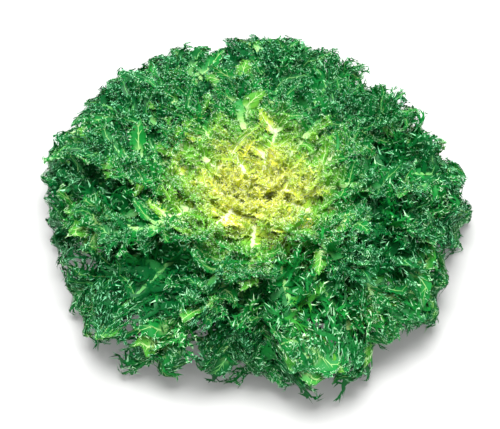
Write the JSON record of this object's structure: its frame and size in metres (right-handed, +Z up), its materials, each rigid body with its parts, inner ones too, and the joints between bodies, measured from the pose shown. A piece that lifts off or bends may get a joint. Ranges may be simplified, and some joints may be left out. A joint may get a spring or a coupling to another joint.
{
  "type": "curly endive head",
  "caption": "Head of curly endive cut at the root: a low rosette of frilled leaves round a short stump, dark green outside and yellow at the heart.",
  "frame": {"origin": "centre of the cut face under the stump, which stands on the surface", "axes": "+Z up along the stump, towards the heart; +X to the right and -Y towards the viewer as in the picture"},
  "size_m": [0.3539, 0.3432, 0.0873],
  "materials": {
    "stem": "moist cut stem, cream white with a faint green edge",
    "outer_leaf": "satin dark green leaf with a paler rib",
    "middle_leaf": "satin fresh green leaf with a paler rib",
    "inner_leaf": "satin yellow-green leaf with a cream rib",
    "heart_leaf": "satin pale yellow leaf with a white rib"
  },
  "bodies": {
    "root": {"heart_leaf_01": "heart_leaf", "heart_leaf_02": "heart_leaf", "heart_leaf_03": "heart_leaf", "heart_leaf_04": "heart_leaf", "heart_leaf_05": "heart_leaf", "heart_leaf_06": "heart_leaf", "heart_leaf_07": "heart_leaf", "heart_leaf_08": "heart_leaf", "inner_leaf_01": "inner_leaf", "inner_leaf_02": "inner_leaf", "inner_leaf_03": "inner_leaf", "inner_leaf_04": "inner_leaf", "inner_leaf_05": "inner_leaf", "inner_leaf_06": "inner_leaf", "inner_leaf_07": "inner_leaf", "inner_leaf_08": "inner_leaf", "inner_leaf_09": "inner_leaf", "inner_leaf_10": "inner_leaf", "inner_leaf_11": "inner_leaf", "middle_leaf_01": "middle_leaf", "middle_leaf_02": "middle_leaf", "middle_leaf_03": "middle_leaf", "middle_leaf_04": "middle_leaf", "middle_leaf_05": "middle_leaf", "middle_leaf_06": "middle_leaf", "middle_leaf_07": "middle_leaf", "middle_leaf_08": "middle_leaf", "middle_leaf_09": "middle_leaf", "middle_leaf_10": "middle_leaf", "middle_leaf_11": "middle_leaf", "middle_leaf_12": "middle_leaf", "middle_leaf_13": "middle_leaf", "middle_leaf_14": "middle_leaf", "middle_leaf_15": "middle_leaf", "outer_leaf_01": "outer_leaf", "outer_leaf_02": "outer_leaf", "outer_leaf_03": "outer_leaf", "outer_leaf_04": "outer_leaf", "outer_leaf_05": "outer_leaf", "outer_leaf_06": "outer_leaf", "outer_leaf_07": "outer_leaf", "outer_leaf_08": "outer_leaf", "outer_leaf_09": "outer_leaf", "outer_leaf_10": "outer_leaf", "outer_leaf_11": "outer_leaf", "outer_leaf_12": "outer_leaf", "outer_leaf_13": "outer_leaf", "outer_leaf_14": "outer_leaf", "outer_leaf_15": "outer_leaf", "outer_leaf_16": "outer_leaf", "outer_leaf_17": "outer_leaf", "outer_leaf_18": "outer_leaf", "outer_leaf_19": "outer_leaf", "outer_leaf_20": "outer_leaf", "stem_stump": "stem"}
  },
  "joints": []
}
